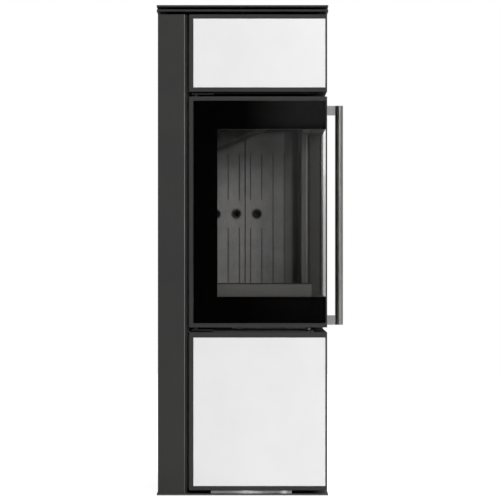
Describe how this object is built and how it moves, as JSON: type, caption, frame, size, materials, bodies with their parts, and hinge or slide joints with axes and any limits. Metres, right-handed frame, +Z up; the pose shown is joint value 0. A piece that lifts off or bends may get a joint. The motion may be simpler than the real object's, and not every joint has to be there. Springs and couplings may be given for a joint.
{
  "type": "free-standing corner wood stove",
  "caption": "Tall square wood stove with a corner glass door, long bar handle, white tiles above and below, and a dark grey casing.",
  "frame": {"origin": "centre of the air inlet in the base plate, on the floor", "axes": "+Z up, the front faces -Y, the glazed corner is at +X -Y"},
  "size_m": [0.5178, 0.464, 1.3265],
  "materials": {
    "stove_paint": "matt heat-resistant paint",
    "white_tile": "satin glaze",
    "ceramic_glass": "clear with black printed edge",
    "refractory": "cast, grooved",
    "rope_seal": "braided glass fibre",
    "stainless": "brushed",
    "plain_steel": "zinc plated",
    "cast_iron": "cast",
    "firebox_steel": "matt heat-resistant paint",
    "black_trim": "matt"
  },
  "bodies": {
    "stove": {"base_plate": "stove_paint", "plinth": "stove_paint", "floor_panel": "stove_paint", "left_casing": "stove_paint", "rear_casing": "stove_paint", "casing_screws": "plain_steel", "lower_tile_frame": "stove_paint", "lower_front_tile": "white_tile", "lower_side_tile": "white_tile", "upper_tile_frame": "stove_paint", "upper_front_tile": "white_tile", "upper_side_tile": "white_tile", "tile_clips": "plain_steel", "hearth_deck": "stove_paint", "upper_deck": "stove_paint", "hinge_brackets": "stove_paint", "hinge_pins": "plain_steel", "hinge_bolts": "plain_steel", "latch_keepers": "plain_steel", "door_seat": "firebox_steel", "log_guard": "cast_iron", "firebox_floor": "firebox_steel", "firebox_left_wall": "firebox_steel", "firebox_rear_wall": "firebox_steel", "firebox_roof": "firebox_steel", "back_lining_left": "refractory", "back_lining_right": "refractory", "left_lining_rear": "refractory", "left_lining_front": "refractory", "hearth_lining": "refractory", "grate": "cast_iron", "ash_pan": "stove_paint", "lower_baffle": "refractory", "upper_baffle": "refractory", "baffle_rests": "firebox_steel", "flue_collar": "firebox_steel", "air_duct": "plain_steel", "air_box": "firebox_steel", "air_slide_rails": "plain_steel", "crown_rim_panel": "stove_paint", "lower_top_plate": "stove_paint", "top_plate": "stove_paint", "top_spacers": "plain_steel", "heat_shields": "plain_steel"},
    "door": {"door_frame": "stove_paint", "front_glass": "ceramic_glass", "side_glass": "ceramic_glass", "corner_trim": "black_trim", "glass_gasket": "rope_seal", "door_rope_seal": "rope_seal", "glass_clips": "plain_steel", "hinge_bushes": "plain_steel", "latch_bearings": "plain_steel"},
    "handle": {"latch_shaft": "plain_steel", "latch_hooks": "plain_steel", "handle_arms": "stainless", "handle_bar": "stainless"},
    "air_control": {"air_slide": "plain_steel", "air_lever": "plain_steel", "air_knob": "stainless"}
  },
  "joints": [
    {"name": "door_hinge", "type": "hinge", "parent": "stove", "child": "door", "pos_m": [-0.1274, -0.215, 0.4545], "axis": [0, 0, -1], "range_deg": [0, 110]},
    {"name": "handle_latch", "type": "hinge", "parent": "door", "child": "handle", "pos_m": [0.206, 0.132, 0.4525], "axis": [0, 0, 1], "range_deg": [0, 20]},
    {"name": "air_lever_slide", "type": "slide", "parent": "stove", "child": "air_control", "axis": [1, 0, 0], "range_m": [-0.025, 0.025]}
  ]
}
